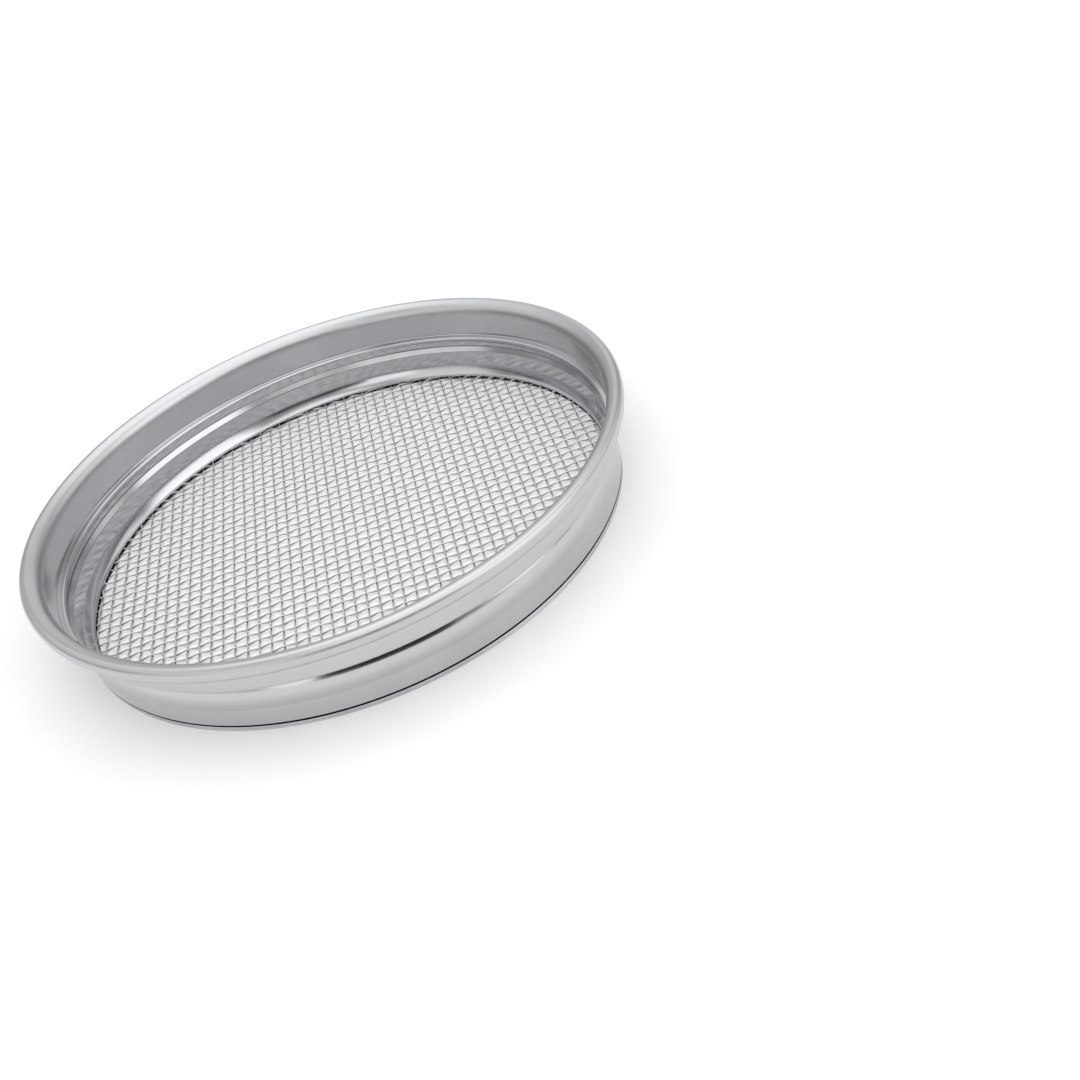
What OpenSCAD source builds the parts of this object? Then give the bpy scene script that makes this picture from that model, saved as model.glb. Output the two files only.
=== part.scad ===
// Soil sieve: a spun stainless steel frame with a rolled rim, a narrow waist under its upper wall and
// a swelling shoulder below that, a square-mesh woven wire cloth at the bottom, and two rings that hold
// the cloth. The lower wall and shoulder of one sieve stack into the upper wall of the next.
// Millimetres, +Z up. The origin is the centre of the bottom face that the sieve stands on.

/* [Frame] */
// Outside diameter of the rolled rim
rim_d = 220; // [219:0.5:226]
// Height from the bottom face to the top of the rim
height = 33.5; // [32:0.1:36]
// Thickness of the frame's sheet
sheet = 0.6; // [0.4:0.1:0.8]
// Width of the rolled edge's tube
curl_w = 4.6; // [4:0.1:5.4]
// Height of the rolled edge's tube, which is a little taller than wide
curl_h = 5.7; // [5.5:0.1:6.2]
// Inside diameter of the upper wall, which takes the sieve stacked above
socket_d = 206.8; // [206.4:0.1:207.6]
// Outside diameter of the lower wall, which sits in the sieve stacked below
spigot_d = 205; // [204.4:0.1:205.6]
// Outside diameter of the shoulder that swells out above the lower wall
shoulder_d = 206.2; // [206.1:0.05:206.3]
// Outside diameter of the waist at its narrowest, between the shoulder and the upper wall
waist_d = 203.5; // [202.8:0.1:203.5]
// Height of the waist at its narrowest
waist_z = 17.9; // [17.6:0.1:18.2]
// Height of the frame's bottom edge
wall_bottom_z = 2.5; // [2.3:0.1:2.8]

/* [Cloth] */
// Wires in one inch of the cloth
wires_per_inch = 6; // [5:1:8]
// Diameter of the wire
wire_d = 0.6; // [0.5:0.05:0.7]
// Diameter over the ends of the wires
cloth_d = 202.8; // [202:0.1:202.8]

/* [Rings] */
// Thickness of the two rings' sheet
ring_sheet = 0.4; // [0.3:0.05:0.5]
// Diameter of the opening that the rings leave for the cloth
opening_d = 197.2; // [196:0.2:198]
// Height of the clamp ring's flared top edge
clamp_top_z = 14; // [13.4:0.1:14]
// Height of the bottom ring's folded lip
lip_z = 1.7; // [1.5:0.1:1.9]
// Height of the bottom ring's collar
collar_z = 5; // [4:0.1:6]

/* [Hidden] */
inch = 25.4;
arc_steps = 10;
$fn = 180;

half_sheet = sheet / 2;
lower_r = spigot_d / 2 - half_sheet;   // the sheet's middle in the lower wall
upper_r = socket_d / 2 + half_sheet;   // and in the upper wall
shoulder_r = shoulder_d / 2 - half_sheet;   // and at the shoulder
waist_r = waist_d / 2 - half_sheet;    // and at the waist

// Bends of the sheet, each the radius of its middle and the angle that it turns through
shoulder_bend = 10.2;
shoulder_turn = 28;
waist_bend = 0.5;
ledge_bend = 0.6;
ledge_turn = 80;
flare_bend = 4;
flare_turn = 60;
curl_bend = curl_w / 2 - half_sheet;
curl_end = -150;
curl_r = rim_d / 2 - curl_w / 2;
curl_z = height - curl_w / 2;
curl_low_z = height - curl_h + curl_w / 2;

// Height that a straight stretch of the sheet gains over a step in radius, at an angle from upright
function rise(step, turn) = step / tan(turn);
// How far a bend carries the sheet sideways
function shift(bend, turn) = bend * (1 - cos(turn));

shoulder_slope = shoulder_r - waist_r - shift(shoulder_bend + waist_bend, shoulder_turn);
shoulder_z = waist_z - (shoulder_bend + waist_bend) * sin(shoulder_turn)
    - rise(shoulder_slope, shoulder_turn);
ledge_slope = upper_r - waist_r - shift(waist_bend + ledge_bend, ledge_turn);
ledge_z = waist_z + (waist_bend + ledge_bend) * sin(ledge_turn) + rise(ledge_slope, ledge_turn);
flare_slope = curl_r - curl_bend * cos(flare_turn) - upper_r - shift(flare_bend, flare_turn);
flare_z = curl_z + (curl_bend - flare_bend) * sin(flare_turn) - rise(flare_slope, flare_turn);

// The cloth lies on the bottom ring, with one layer of wires on the other
pitch = inch / wires_per_inch;
warp_z = ring_sheet + wire_d / 2;
weft_z = warp_z + wire_d;
cloth_top_z = weft_z + wire_d / 2;
cloth_r = cloth_d / 2;
side_wires = floor(opening_d / 2 / pitch);

// The collars nest inside the lower wall, the bottom ring's first and then the clamp ring's
collar_r = spigot_d / 2 - sheet;
clamp_r = collar_r - 1.5 * ring_sheet;
lip_r = spigot_d / 2;
edge_round = 0.3;

// The clamp ring's top flares out to the shoulder. Below its upright band, a crease starts a wide cove
// that slopes down to a flatter toe, whose tip lies on the cloth
flare_foot_z = 11.8;
top_bend = 1;
top_turn = 25;
cove_bend = 16;
cove_turn = 30;
toe_bend = 0.6;
toe_turn = 78;
toe_length = 0.7;
toe_tip = [opening_d / 2, cloth_top_z + ring_sheet / 2 * sin(toe_turn)];
toe_centre = toe_tip + toe_length * [sin(toe_turn), cos(toe_turn)]
    - toe_bend * [cos(toe_turn), -sin(toe_turn)];
toe_start = toe_centre + toe_bend * [cos(cove_turn), -sin(cove_turn)];
cove_centre = toe_start - cove_bend * [cos(cove_turn), -sin(cove_turn)];
top_step = shift(top_bend, top_turn)
    + (clamp_top_z - flare_foot_z - top_bend * sin(top_turn)) * tan(top_turn);

function arc(centre, r, from, to) =
    [for (i = [0 : arc_steps]) let (a = from + (to - from) * i / arc_steps)
        centre + r * [cos(a), sin(a)]];

// Angle below the level of a bend's centre where the face at o crosses the face of an upright wall
// whose middle is inside the bend's widest place by the step
function crease(bend, step, o) = acos((bend - step + o) / (bend + o));

function reversed(points) = [for (i = [len(points) - 1 : -1 : 0]) points[i]];

// One face of the frame's sheet from the bottom edge to the end of the curl, which is the middle
// of the sheet moved outwards by o
function frame_face(o) = concat(
    [[lower_r + o, wall_bottom_z]],
    arc([shoulder_r - shoulder_bend, shoulder_z], shoulder_bend + o,
        -crease(shoulder_bend, shoulder_r - lower_r, o), shoulder_turn),
    arc([waist_r + waist_bend, waist_z], waist_bend - o, 180 + shoulder_turn, 180 - ledge_turn),
    arc([upper_r - ledge_bend, ledge_z], ledge_bend + o, -ledge_turn, 0),
    arc([upper_r + flare_bend, flare_z], flare_bend - o, 180, 180 - flare_turn),
    arc([curl_r, curl_z], curl_bend - o, 180 - flare_turn, 0),
    arc([curl_r, curl_low_z], curl_bend - o, 0, curl_end));

// One face of the clamp ring's sheet from its top edge down to its tip on the cloth
function clamp_face(o) = concat(
    [[clamp_r + top_step, clamp_top_z] + o * [cos(top_turn), -sin(top_turn)]],
    arc([clamp_r + top_bend, flare_foot_z], top_bend - o, 180 - top_turn, 180),
    arc(cove_centre, cove_bend + o,
        -crease(cove_bend, cove_centre[0] + cove_bend - clamp_r, o), -cove_turn),
    arc(toe_centre, toe_bend + o, -cove_turn, -toe_turn),
    [toe_tip + o * [cos(toe_turn), -sin(toe_turn)]]);

module sheet_ring(one_face, other_face) {
    rotate_extrude() polygon(concat(one_face, reversed(other_face)));
}

// The spun frame: lower wall, shoulder, waist, ledge, upper wall and rolled rim in one sheet
module frame_shell() {
    color("gainsboro") sheet_ring(frame_face(half_sheet), frame_face(-half_sheet));
}

// The coved ring inside the frame that presses the cloth down
module clamp_ring() {
    color("white") sheet_ring(clamp_face(ring_sheet / 2), clamp_face(-ring_sheet / 2));
}

// One rounded fold of the bottom ring's lip, from its lower to its upper height
function lip_fold(low, high) = concat(
    arc([lip_r - edge_round, low + edge_round], edge_round, -90, 0),
    arc([lip_r - edge_round, high - edge_round], edge_round, 0, 90));

// The ring under the cloth: a flat flange, a lip of two folds and a collar inside the lower wall
module bottom_ring() {
    color("silver") rotate_extrude() polygon(concat(
        [[opening_d / 2, 0]],
        lip_fold(0, lip_z / 2),
        lip_fold(lip_z / 2, lip_z),
        [[collar_r, lip_z], [collar_r, collar_z], [collar_r - ring_sheet, collar_z],
         [collar_r - ring_sheet, ring_sheet], [opening_d / 2, ring_sheet]]));
}

// One layer of the cloth: parallel wires along Y, each a chord of the cloth's circle
module wire_layer(z) {
    for (i = [-side_wires : side_wires])
        let (x = i * pitch, half = sqrt(cloth_r * cloth_r - x * x) - wire_d / 2)
            translate([x, 0, z]) rotate([90, 0, 0])
                cylinder(d = wire_d, h = 2 * half, center = true, $fn = 24);
}

// The lower layer of wires, along Y
module warp_wires() {
    color("darkgray") wire_layer(warp_z);
}

// The upper layer of wires, along X
module weft_wires() {
    color("gray") rotate([0, 0, 90]) wire_layer(weft_z);
}

frame_shell();
clamp_ring();
bottom_ring();
warp_wires();
weft_wires();
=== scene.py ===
import math

import bpy
import numpy as np
from mathutils import Euler, Matrix, Vector


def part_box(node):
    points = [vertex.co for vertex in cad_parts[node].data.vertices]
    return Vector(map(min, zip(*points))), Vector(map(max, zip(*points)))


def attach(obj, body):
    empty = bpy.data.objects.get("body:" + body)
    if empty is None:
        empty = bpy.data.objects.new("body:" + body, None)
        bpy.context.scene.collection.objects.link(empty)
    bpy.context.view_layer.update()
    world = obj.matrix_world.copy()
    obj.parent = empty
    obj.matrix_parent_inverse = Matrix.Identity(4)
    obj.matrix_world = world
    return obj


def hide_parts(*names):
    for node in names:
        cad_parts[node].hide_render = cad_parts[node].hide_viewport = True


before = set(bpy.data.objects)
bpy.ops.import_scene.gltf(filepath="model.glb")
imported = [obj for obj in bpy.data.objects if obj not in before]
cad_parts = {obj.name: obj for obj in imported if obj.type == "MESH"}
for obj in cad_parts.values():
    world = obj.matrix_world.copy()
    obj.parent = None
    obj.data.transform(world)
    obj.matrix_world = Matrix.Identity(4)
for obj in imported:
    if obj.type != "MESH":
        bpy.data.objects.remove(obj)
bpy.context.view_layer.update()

MM = 0.001


# ---------- sizes, in millimetres, the same as in the part's source ----------

def node_size(node):
    """Outer radius, lowest and highest z of a node, in millimetres."""
    low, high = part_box(node)
    return high[0] / MM, low[2] / MM, high[2] / MM


RIM_R, WALL_BOTTOM_Z, HEIGHT = node_size("frame_shell")
SHEET = 0.6
CURL_W, CURL_H = 4.6, 5.7
LOWER_R = 205 / 2 - SHEET / 2
UPPER_R = 206.8 / 2 + SHEET / 2
SHOULDER_R = 206.2 / 2 - SHEET / 2
WAIST_R = 203.5 / 2 - SHEET / 2
WAIST_Z = 17.9
SHOULDER_BEND, SHOULDER_TURN = 10.2, 28
WAIST_BEND = 0.5
LEDGE_BEND, LEDGE_TURN = 0.6, 80
FLARE_BEND, FLARE_TURN = 4.0, 60
CURL_END = -150

RING_SHEET = 0.4
LIP_R = node_size("bottom_ring")[0]
OPENING_R = 197.2 / 2
CLAMP_TOP_Z = 14
FLARE_FOOT_Z = 11.8
TOP_BEND, TOP_TURN = 1.0, 25
LIP_Z = 1.7
COLLAR_Z = node_size("bottom_ring")[2]
COLLAR_R = LIP_R - SHEET
CLAMP_R = COLLAR_R - 1.5 * RING_SHEET
EDGE_ROUND = 0.3
COVE_BEND, COVE_TURN = 16, 30
TOE_BEND, TOE_TURN, TOE_LENGTH = 0.6, 78, 0.7

WIRE_D = 0.6
WANDER = 0.05
CLOTH_R = 202.8 / 2
PITCH = 25.4 / 6
CLOTH_Z = RING_SHEET + WIRE_D


# ---------- mesh helpers ----------

SEGMENTS = 480


def arc(centre, radius, start, end, steps=12):
    """Points of an arc from one angle to another, in degrees, anticlockwise positive."""
    angles = np.radians(np.linspace(start, end, steps + 1))
    return np.column_stack([centre[0] + radius * np.cos(angles), centre[1] + radius * np.sin(angles)])


def supported(section, reach=0.12):
    """Adds a point close to both ends of each long straight stretch, so that its shading stays flat."""
    points = []
    for here, there in zip(section, np.roll(section, -1, axis=0)):
        points.append(here)
        length = np.linalg.norm(there - here)
        if length > 4 * reach:
            points += [here + (there - here) * reach / length, there - (there - here) * reach / length]
    return np.array(points)


def lathe(name, section):
    """A ring swept round the Z axis from a closed section of radius and height in millimetres."""
    section = supported(section)
    turns = np.linspace(0, 2 * math.pi, SEGMENTS, endpoint=False)
    count = len(section)
    verts = np.empty((SEGMENTS, count, 3))
    verts[:, :, 0] = np.cos(turns)[:, None] * section[:, 0]
    verts[:, :, 1] = np.sin(turns)[:, None] * section[:, 0]
    verts[:, :, 2] = section[:, 1]
    turn, row = np.meshgrid(np.arange(SEGMENTS), np.arange(count), indexing="ij")
    here, after, above = turn * count, (turn + 1) % SEGMENTS * count, (row + 1) % count
    faces = np.stack([here + row, after + row, after + above, here + above], -1).reshape(-1, 4)
    area = np.sum(section[:, 0] * np.roll(section[:, 1], -1) - np.roll(section[:, 0], -1) * section[:, 1])
    return mesh_object(name, verts.reshape(-1, 3) * MM, faces if area > 0 else faces[:, ::-1], sharp=35)


def mesh_object(name, verts, faces, sharp=None):
    """A smooth object, with its edges sharp where they turn by more than the given degrees."""
    mesh = bpy.data.meshes.new(name)
    mesh.from_pydata(verts.tolist(), [], faces.tolist() if hasattr(faces, "tolist") else faces)
    mesh.validate()
    mesh.shade_smooth()
    if sharp:
        mesh.set_sharp_from_angle(angle=math.radians(sharp))
    piece = bpy.data.objects.new(name, mesh)
    bpy.context.scene.collection.objects.link(piece)
    return piece


# ---------- frame ----------

def rise(step, turn):
    """Height gained over a step in radius by a straight stretch at an angle from upright."""
    return step / math.tan(math.radians(turn))


def shift(bend, turn):
    """How far a bend carries the sheet sideways."""
    return bend * (1 - math.cos(math.radians(turn)))


def crease(bend, step, offset):
    """Angle below a bend's centre where one face crosses that of an upright wall."""
    return math.degrees(math.acos((bend - step + offset) / (bend + offset)))


def frame_face(offset):
    """One face of the frame's sheet, its middle moved outwards by the offset."""
    def sine(turn):
        return math.sin(math.radians(turn))

    curl_bend = CURL_W / 2 - SHEET / 2
    curl_r = RIM_R - CURL_W / 2
    curl_z = HEIGHT - CURL_W / 2
    curl_low_z = HEIGHT - CURL_H + CURL_W / 2
    shoulder_slope = SHOULDER_R - WAIST_R - shift(SHOULDER_BEND + WAIST_BEND, SHOULDER_TURN)
    shoulder_z = WAIST_Z - (SHOULDER_BEND + WAIST_BEND) * sine(SHOULDER_TURN) \
        - rise(shoulder_slope, SHOULDER_TURN)
    ledge_slope = UPPER_R - WAIST_R - shift(WAIST_BEND + LEDGE_BEND, LEDGE_TURN)
    ledge_z = WAIST_Z + (WAIST_BEND + LEDGE_BEND) * sine(LEDGE_TURN) + rise(ledge_slope, LEDGE_TURN)
    flare_top_r = curl_r - curl_bend * math.cos(math.radians(FLARE_TURN))
    flare_slope = flare_top_r - UPPER_R - shift(FLARE_BEND, FLARE_TURN)
    flare_z = curl_z + (curl_bend - FLARE_BEND) * sine(FLARE_TURN) - rise(flare_slope, FLARE_TURN)
    return np.vstack([
        [[LOWER_R + offset, WALL_BOTTOM_Z]],
        arc((SHOULDER_R - SHOULDER_BEND, shoulder_z), SHOULDER_BEND + offset,
            -crease(SHOULDER_BEND, SHOULDER_R - LOWER_R, offset), SHOULDER_TURN, 14),
        arc((WAIST_R + WAIST_BEND, WAIST_Z), WAIST_BEND - offset, 180 + SHOULDER_TURN, 180 - LEDGE_TURN),
        arc((UPPER_R - LEDGE_BEND, ledge_z), LEDGE_BEND + offset, -LEDGE_TURN, 0, 8),
        arc((UPPER_R + FLARE_BEND, flare_z), FLARE_BEND - offset, 180, 180 - FLARE_TURN, 6),
        arc((curl_r, curl_z), curl_bend - offset, 180 - FLARE_TURN, 0, 20),
        arc((curl_r, curl_low_z), curl_bend - offset, 0, CURL_END, 14)])


def make_frame_shell():
    section = np.vstack([frame_face(SHEET / 2), frame_face(-SHEET / 2)[::-1]])
    return lathe("frame_shell_spun", section)


# ---------- rings ----------

def clamp_face(offset):
    """One face of the clamp ring's sheet, from its flared top edge down to its tip on the cloth."""
    def across(turn):
        """Direction across the sheet, outwards, where it leans by an angle from upright."""
        return np.array([math.cos(math.radians(turn)), -math.sin(math.radians(turn))])

    tip = np.array([OPENING_R, CLOTH_Z + WIRE_D - RING_SHEET / 2 * across(TOE_TURN)[1]])
    toe = tip - TOE_LENGTH * across(TOE_TURN)[::-1] * [1, -1] - TOE_BEND * across(TOE_TURN)
    cove = toe + (TOE_BEND - COVE_BEND) * across(COVE_TURN)
    cove_step = cove[0] + COVE_BEND - CLAMP_R
    foot = (CLAMP_R + TOP_BEND, FLARE_FOOT_Z)
    top_step = shift(TOP_BEND, TOP_TURN) + (CLAMP_TOP_Z - FLARE_FOOT_Z + TOP_BEND * across(TOP_TURN)[1]) \
        * math.tan(math.radians(TOP_TURN))
    return np.vstack([
        [np.array([CLAMP_R + top_step, CLAMP_TOP_Z]) + offset * across(TOP_TURN)],
        arc(foot, TOP_BEND - offset, 180 - TOP_TURN, 180, 8),
        arc(cove, COVE_BEND + offset, -crease(COVE_BEND, cove_step, offset), -COVE_TURN, 10),
        arc(toe, TOE_BEND + offset, -COVE_TURN, -TOE_TURN, 8)[1:],
        [tip + offset * across(TOE_TURN)]])


def make_clamp_ring():
    section = np.vstack([clamp_face(RING_SHEET / 2), clamp_face(-RING_SHEET / 2)[::-1]])
    return lathe("clamp_ring_coved", section)


def lip_fold(low, high):
    """One rounded fold of the bottom ring's lip, from its lower to its upper height."""
    return np.vstack([arc((LIP_R - EDGE_ROUND, low + EDGE_ROUND), EDGE_ROUND, -90, 0, 6),
                      arc((LIP_R - EDGE_ROUND, high - EDGE_ROUND), EDGE_ROUND, 0, 90, 6)])


def make_bottom_ring():
    section = np.vstack([
        [[OPENING_R, 0]],
        lip_fold(0, LIP_Z / 2),
        lip_fold(LIP_Z / 2, LIP_Z),
        [[COLLAR_R, LIP_Z], [COLLAR_R, COLLAR_Z], [COLLAR_R - RING_SHEET, COLLAR_Z],
         [COLLAR_R - RING_SHEET, RING_SHEET], [OPENING_R, RING_SHEET]]])
    return lathe("bottom_ring_folded", section)


# ---------- cloth ----------

def crimped_wire(across, half, sign, sides=8, steps=6):
    """Vertices and faces of one wire along Y that waves over and under the wires it crosses."""
    spots = np.arange(-math.floor(half / PITCH * steps), math.floor(half / PITCH * steps) + 1) * PITCH / steps
    spots = np.concatenate([[-half], spots, [half]])
    phase = spots / PITCH * math.pi
    lift = sign * WIRE_D / 2 * np.cos(phase)
    slope = -sign * WIRE_D / 2 * np.sin(phase) * math.pi / PITCH
    turn = np.arange(sides) / sides * 2 * math.pi
    lean = np.sqrt(1 + slope ** 2)
    wide, tall = np.cos(turn) * WIRE_D / 2, np.sin(turn) * WIRE_D / 2
    rings = np.empty((len(spots), sides, 3))
    rings[:, :, 0] = across + wide
    rings[:, :, 1] = spots[:, None] - tall * (slope / lean)[:, None]
    rings[:, :, 2] = CLOTH_Z + lift[:, None] + tall / lean[:, None]
    faces = []
    for ring in range(len(spots) - 1):
        for side in range(sides):
            a, b = ring * sides + side, ring * sides + (side + 1) % sides
            faces.append((a, a + sides, b + sides, b))
    faces.append(tuple(range(sides)))
    faces.append(tuple(reversed(range((len(spots) - 1) * sides, len(spots) * sides))))
    return rings.reshape(-1, 3), faces


def make_wires(name, along_x):
    """All the wires of one direction, with the small wander of a real cloth."""
    rng = np.random.default_rng(7 if along_x else 5)
    verts, faces, start = [], [], 0
    side_wires = int(OPENING_R // PITCH)
    for i in range(-side_wires, side_wires + 1):
        across = i * PITCH + rng.normal(0, WANDER)
        half = math.sqrt(CLOTH_R ** 2 - across ** 2) - WIRE_D / 2
        sign = (-1) ** i * (-1 if along_x else 1)
        points, quads = crimped_wire(across, half, sign)
        if along_x:
            points = points[:, [1, 0, 2]]
            quads = [tuple(reversed(q)) for q in quads]
        verts.append(points)
        faces += [tuple(v + start for v in q) for q in quads]
        start += len(points)
    return mesh_object(name, np.vstack(verts) * MM, faces, sharp=50)


# ---------- materials ----------

class Nodes:
    """Small helper that makes and links shader nodes, of a material or of the world."""

    def __init__(self, name, shader="Principled BSDF"):
        self.owner = (bpy.data.worlds if shader == "Background" else bpy.data.materials).new(name)
        self.owner.use_nodes = True
        self.tree = self.owner.node_tree
        self.shader = self.tree.nodes[shader]

    def add(self, kind, inputs=None, **settings):
        node = self.tree.nodes.new(kind)
        for key, value in settings.items():
            setattr(node, key, value)
        for key, value in (inputs or {}).items():
            if hasattr(value, "is_linked"):
                self.tree.links.new(value, node.inputs[key])
            else:
                node.inputs[key].default_value = value
        return node

    def math(self, operation, a, b=0.0, clamp=False):
        return self.add("ShaderNodeMath", {0: a, 1: b}, operation=operation, use_clamp=clamp).outputs[0]

    def blend(self, value, start, end, low, high):
        """Goes smoothly from the low to the high result while the value goes from start to end."""
        inputs = {"Value": value, "From Min": start, "From Max": end, "To Min": low, "To Max": high}
        return self.add("ShaderNodeMapRange", inputs, interpolation_type="SMOOTHSTEP").outputs[0]

    def link(self, output, name):
        self.tree.links.new(output, self.shader.inputs[name])

    def ramp(self, factor, stops):
        node = self.add("ShaderNodeValToRGB", {"Fac": factor})
        while len(node.color_ramp.elements) < len(stops):
            node.color_ramp.elements.new(0.5)
        for element, (place, colour) in zip(node.color_ramp.elements, stops):
            element.position = place
            element.color = (*colour, 1) if isinstance(colour, tuple) else (colour, colour, colour, 1)
        return node.outputs[0]


def spun_coordinates(n):
    """Radius and height in mm, the direction away from the axis in x and in y, and the place itself."""
    place = n.add("ShaderNodeTexCoord").outputs["Object"]
    parts = n.add("ShaderNodeSeparateXYZ", {0: place}).outputs
    radius = n.math("SQRT", n.math("ADD", n.math("MULTIPLY", parts[0], parts[0]),
                                   n.math("MULTIPLY", parts[1], parts[1])))
    round_x, round_y = n.math("DIVIDE", parts[0], radius), n.math("DIVIDE", parts[1], radius)
    return n.math("MULTIPLY", radius, 1000.0), n.math("MULTIPLY", parts[2], 1000.0), round_x, round_y, place


SATIN_START_Z, SATIN_FULL_Z = 27.0, 29.5
GAP_MARGIN = 0.05


def polished_steel(name, colour, roughness, rim_roughness):
    """Spun steel: fine lines round the axis, smudges that dull it a little, and painted shade, near black, in
    the gap above the lip.
    """
    n = Nodes(name)
    radius, height, round_x, round_y, place = spun_coordinates(n)
    around = n.add("ShaderNodeCombineXYZ", {0: n.math("MULTIPLY", round_x, 3.0),
                                            1: n.math("MULTIPLY", round_y, 3.0),
                                            2: n.math("MULTIPLY", radius, 9.0)}).outputs[0]
    lines = n.add("ShaderNodeTexNoise", {"Vector": around, "W": n.math("MULTIPLY", height, 9.0), "Scale": 1.0,
                                         "Detail": 4.0, "Roughness": 0.7}, noise_dimensions="4D").outputs[0]
    smudges = n.add("ShaderNodeTexNoise", {"Vector": place, "Scale": 70.0, "Detail": 3.0,
                                           "Roughness": 0.55}).outputs[0]
    dull = n.math("ADD", n.math("MULTIPLY", n.math("SUBTRACT", lines, 0.5), 0.10),
                  n.math("MULTIPLY", n.math("SUBTRACT", smudges, 0.5), 0.10))
    satin = n.blend(height, SATIN_START_Z, SATIN_FULL_Z, roughness, rim_roughness)
    n.link(n.math("ADD", dull, satin), "Roughness")
    tone = n.math("ADD", n.math("MULTIPLY", lines, 0.35), n.math("MULTIPLY", smudges, 0.65))
    steel_tone = n.ramp(tone, [(0.3, tuple(0.93 * c for c in colour)), (0.7, colour)])
    # Painted shade: the crevice between the wall's lower edge and the lip is coloured near black in place of
    # the steel.
    painted_gap_shade = n.math("MULTIPLY", n.math("GREATER_THAN", radius, COLLAR_R - GAP_MARGIN),
                 n.math("MULTIPLY", n.math("GREATER_THAN", height, LIP_Z - GAP_MARGIN),
                        n.math("LESS_THAN", height, WALL_BOTTOM_Z + GAP_MARGIN)))
    n.link(n.add("ShaderNodeMix", {0: painted_gap_shade, 6: steel_tone, 7: (0.02, 0.02, 0.02, 1)}, data_type="RGBA").outputs[2],
           "Base Color")
    bump = n.add("ShaderNodeBump", {"Height": lines, "Strength": 0.12, "Distance": 0.00004}).outputs[0]
    n.link(bump, "Normal")
    n.shader.inputs["Metallic"].default_value = 1.0
    return n.owner


def drawn_wire(name, colour):
    """Drawn wire: a painted highlight on its crowns and painted shade low in the crossings, with small dull
    patches.
    """
    n = Nodes(name)
    place = n.add("ShaderNodeTexCoord").outputs["Object"]
    height = n.math("MULTIPLY", n.add("ShaderNodeSeparateXYZ", {0: place}).outputs[2], 1000.0)
    patches = n.add("ShaderNodeTexNoise", {"Vector": place, "Scale": 420.0, "Detail": 3.0}).outputs[0]
    # Painted light: the colour goes from dark low down, where the wire passes under others, to bright on its
    # tops.
    painted_crown_light = n.math("MULTIPLY", n.math("SUBTRACT", height, CLOTH_Z - WIRE_D), 1 / (2 * WIRE_D), clamp=True)
    tone = n.math("ADD", n.math("MULTIPLY", painted_crown_light, 0.7), n.math("MULTIPLY", patches, 0.3))
    n.link(n.ramp(tone, [(0.2, tuple(0.5 * c for c in colour)), (0.6, colour),
                         (0.85, tuple(1.7 * c for c in colour))]), "Base Color")
    n.link(n.math("ADD", n.math("MULTIPLY", patches, 0.2), 0.2), "Roughness")
    n.shader.inputs["Metallic"].default_value = 1.0
    return n.owner


# ---------- studio ----------

FLOOR_GLOW = 0.17
FLOOR_REACH = 6.0
BACKDROP_R, BACKDROP_FOOT_Z = 5.0, -0.5
BACKDROP_SIDES = 48
FLAG_AZIMUTH, FLAG_DISTANCE = 180, 0.62
FLAG_WIDTH, FLAG_HEIGHT = 0.54, 0.21

# Soft boxes round the sieve: the direction in degrees clockwise from +Y, the height above the floor and the
# half-width in degrees, and the brightness
SOFT_BOXES = {
    "right": (120, 27, 26, 1.3),
    "right_far": (70, 24, 16, 0.7),
    "overhead": (30, 76, 30, 1.15),
    "front": (178, 50, 24, 0.93),
    "front_left": (206, 6, 17, 1.1),
    "left": (240, 20, 20, 0.6),
    "left_far": (295, 40, 30, 0.45),
    "far": (5, 12, 22, 0.5),
}
BOX_EDGE = 6
DOME_LOW, DOME_HIGH = 0.30, 0.58
DOME_FULL = 0.8


def floor_material():
    """White acrylic lit a little from below, so that shadows on it stay light."""
    n = Nodes("pale_floor")
    place = n.add("ShaderNodeTexCoord").outputs["Object"]
    grain = n.add("ShaderNodeTexNoise", {"Vector": place, "Scale": 40.0, "Detail": 2.0}).outputs[0]
    n.link(n.ramp(grain, [(0.3, 0.77), (0.7, 0.79)]), "Base Color")
    n.shader.inputs["Roughness"].default_value = 1.0
    n.shader.inputs["Specular IOR Level"].default_value = 0.0
    n.shader.inputs["Emission Color"].default_value = (1, 1, 1, 1)
    n.shader.inputs["Emission Strength"].default_value = FLOOR_GLOW
    return n.owner


def make_floor():
    corners = np.array([(-1, -1, 0), (1, -1, 0), (1, 1, 0), (-1, 1, 0)]) * FLOOR_REACH
    floor = mesh_object("floor", corners, [(0, 1, 2, 3)])
    floor.data.materials.append(floor_material())


def direction(azimuth, elevation):
    """The way to a place in degrees clockwise from +Y and degrees above the floor."""
    azimuth, elevation = math.radians(azimuth), math.radians(elevation)
    return Vector((math.sin(azimuth) * math.cos(elevation), math.cos(azimuth) * math.cos(elevation),
                   math.sin(elevation)))


def make_world():
    """A dim studio dome that grows brighter upwards, with soft boxes in it."""
    n = Nodes("studio", "Background")
    way = n.add("ShaderNodeVectorMath", {0: n.add("ShaderNodeTexCoord").outputs["Generated"]},
                operation="NORMALIZE").outputs[0]
    height = n.add("ShaderNodeSeparateXYZ", {0: way}).outputs[2]
    light = n.blend(height, 0.0, DOME_FULL, DOME_LOW, DOME_HIGH)
    for azimuth, elevation, half_width, brightness in SOFT_BOXES.values():
        closeness = n.add("ShaderNodeVectorMath", {0: way, 1: direction(azimuth, elevation)},
                          operation="DOT_PRODUCT").outputs["Value"]
        edge = [math.cos(math.radians(half_width + side * BOX_EDGE)) for side in (1, -1)]
        light = n.math("ADD", light, n.blend(closeness, *edge, 0.0, brightness))
    n.link(light, "Strength")
    n.shader.inputs["Color"].default_value = (1, 1, 1, 1)
    bpy.context.scene.world = n.owner
    bpy.context.scene.view_settings.view_transform = "Standard"


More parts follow.
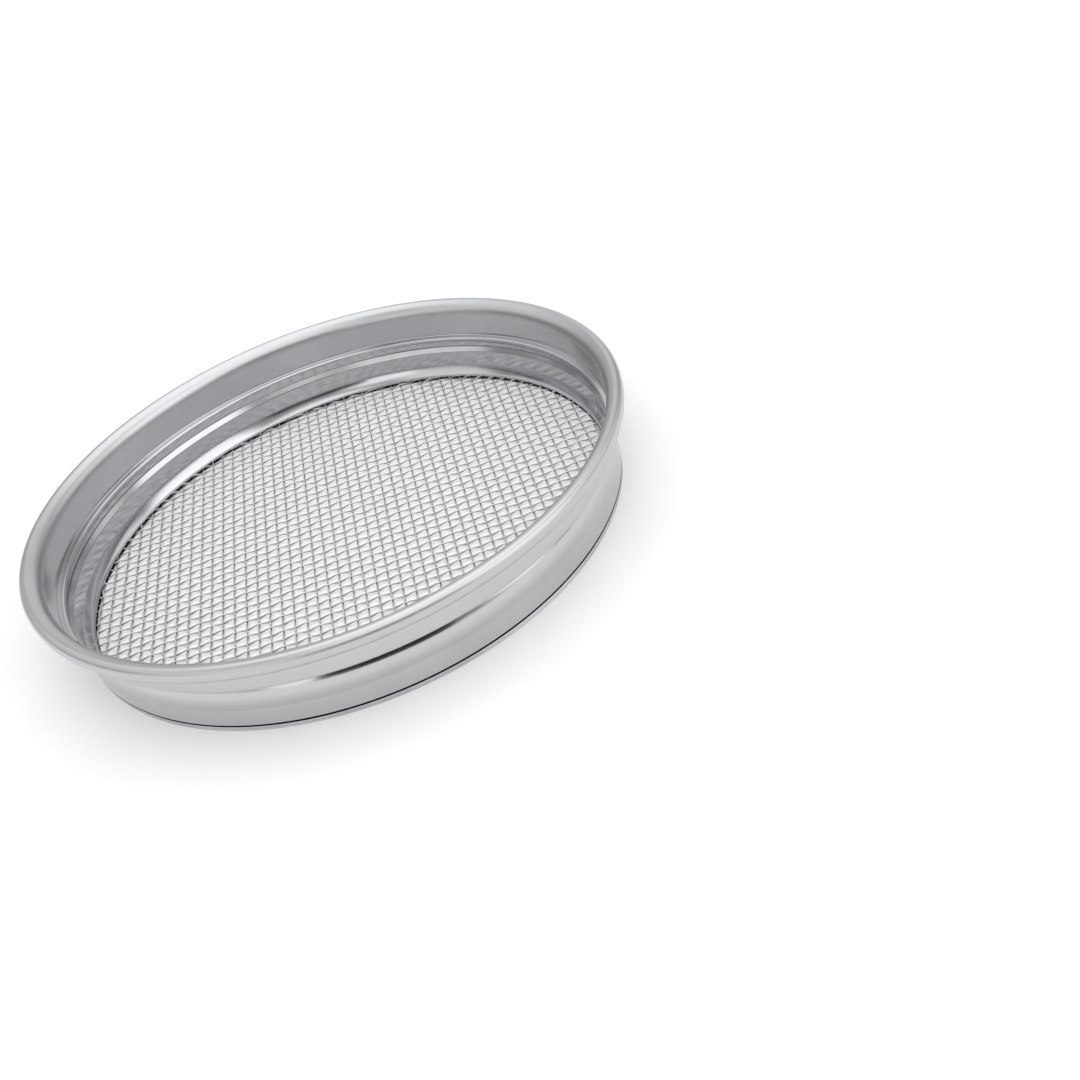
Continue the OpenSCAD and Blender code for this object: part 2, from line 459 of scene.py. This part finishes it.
def make_flag():
    """A black screen under the camera, which shows only as the dark streak in the frame's waist."""
    middle = direction(FLAG_AZIMUTH, 0) * FLAG_DISTANCE
    side = direction(FLAG_AZIMUTH + 90, 0) * FLAG_WIDTH / 2
    top = Vector((0, 0, FLAG_HEIGHT))
    corners = [middle - side, middle + side, middle + side + top, middle - side + top]
    flag = mesh_object("flag", np.array(corners), [(0, 1, 2, 3)])
    n = Nodes("flag_cloth")
    n.shader.inputs["Base Color"].default_value = (0.01, 0.01, 0.01, 1)
    n.shader.inputs["Roughness"].default_value = 1.0
    flag.data.materials.append(n.owner)
    flag.visible_camera = flag.visible_diffuse = flag.visible_shadow = False


def make_backdrop():
    """White paper far behind, which the camera sees in place of the dome and nothing else does."""
    turns = np.linspace(0, 2 * math.pi, BACKDROP_SIDES, endpoint=False)
    ring = np.column_stack([np.cos(turns), np.sin(turns)]) * BACKDROP_R
    heights = (BACKDROP_FOOT_Z, BACKDROP_R)
    verts = np.vstack([np.column_stack([ring, np.full(BACKDROP_SIDES, z)]) for z in heights])
    low = np.arange(BACKDROP_SIDES)
    low_after = np.roll(low, -1)
    high, high_after = low + BACKDROP_SIDES, low_after + BACKDROP_SIDES
    backdrop = mesh_object("backdrop", verts, np.stack([high, high_after, low_after, low], -1))
    n = Nodes("white_paper")
    n.shader.inputs["Base Color"].default_value = (0, 0, 0, 1)
    n.shader.inputs["Specular IOR Level"].default_value = 0.0
    n.shader.inputs["Emission Color"].default_value = (1, 1, 1, 1)
    n.shader.inputs["Emission Strength"].default_value = 1.0
    backdrop.data.materials.append(n.owner)
    backdrop.visible_diffuse = backdrop.visible_glossy = backdrop.visible_shadow = False


CAMERA_PLACE = (0.0920, -0.3755, 0.2375)
CAMERA_TURN = -5.35
CAMERA_DOWN = 38.51
CAMERA_ROLL = -16.67
CAMERA_LENS, CAMERA_SENSOR = 39.46, 36
CAMERA_SHIFT = (-0.0819, 0.0335)


def make_camera():
    data = bpy.data.cameras.new("camera")
    data.lens, data.sensor_width = CAMERA_LENS, CAMERA_SENSOR
    data.shift_x, data.shift_y = CAMERA_SHIFT
    camera = bpy.data.objects.new("camera", data)
    turn = Matrix.Rotation(math.radians(CAMERA_TURN), 3, "Z")
    camera.location = turn @ Vector(CAMERA_PLACE)
    tilt = Euler((math.radians(90 - CAMERA_DOWN), 0, 0)).to_matrix()
    camera.rotation_euler = (turn @ tilt @ Matrix.Rotation(math.radians(CAMERA_ROLL), 3, "Z")).to_euler()
    bpy.context.scene.collection.objects.link(camera)
    bpy.context.scene.camera = camera


# ---------- the sieve ----------

def add_piece(piece, node, material):
    piece.data.materials.append(material)
    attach(piece, "root")
    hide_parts(node)


shell_steel = polished_steel("polished_frame_steel", (0.56, 0.563, 0.578), 0.15, 0.36)
ring_steel = polished_steel("polished_ring_steel", (0.57, 0.573, 0.588), 0.15, 0.15)
wire_steel = drawn_wire("drawn_wire_steel", (0.40, 0.405, 0.42))

make_camera()
add_piece(make_frame_shell(), "frame_shell", shell_steel)
add_piece(make_clamp_ring(), "clamp_ring", ring_steel)
add_piece(make_bottom_ring(), "bottom_ring", ring_steel)
add_piece(make_wires("warp_wires_crimped", False), "warp_wires", wire_steel)
add_piece(make_wires("weft_wires_crimped", True), "weft_wires", wire_steel)

make_floor()
make_world()
make_flag()
make_backdrop()
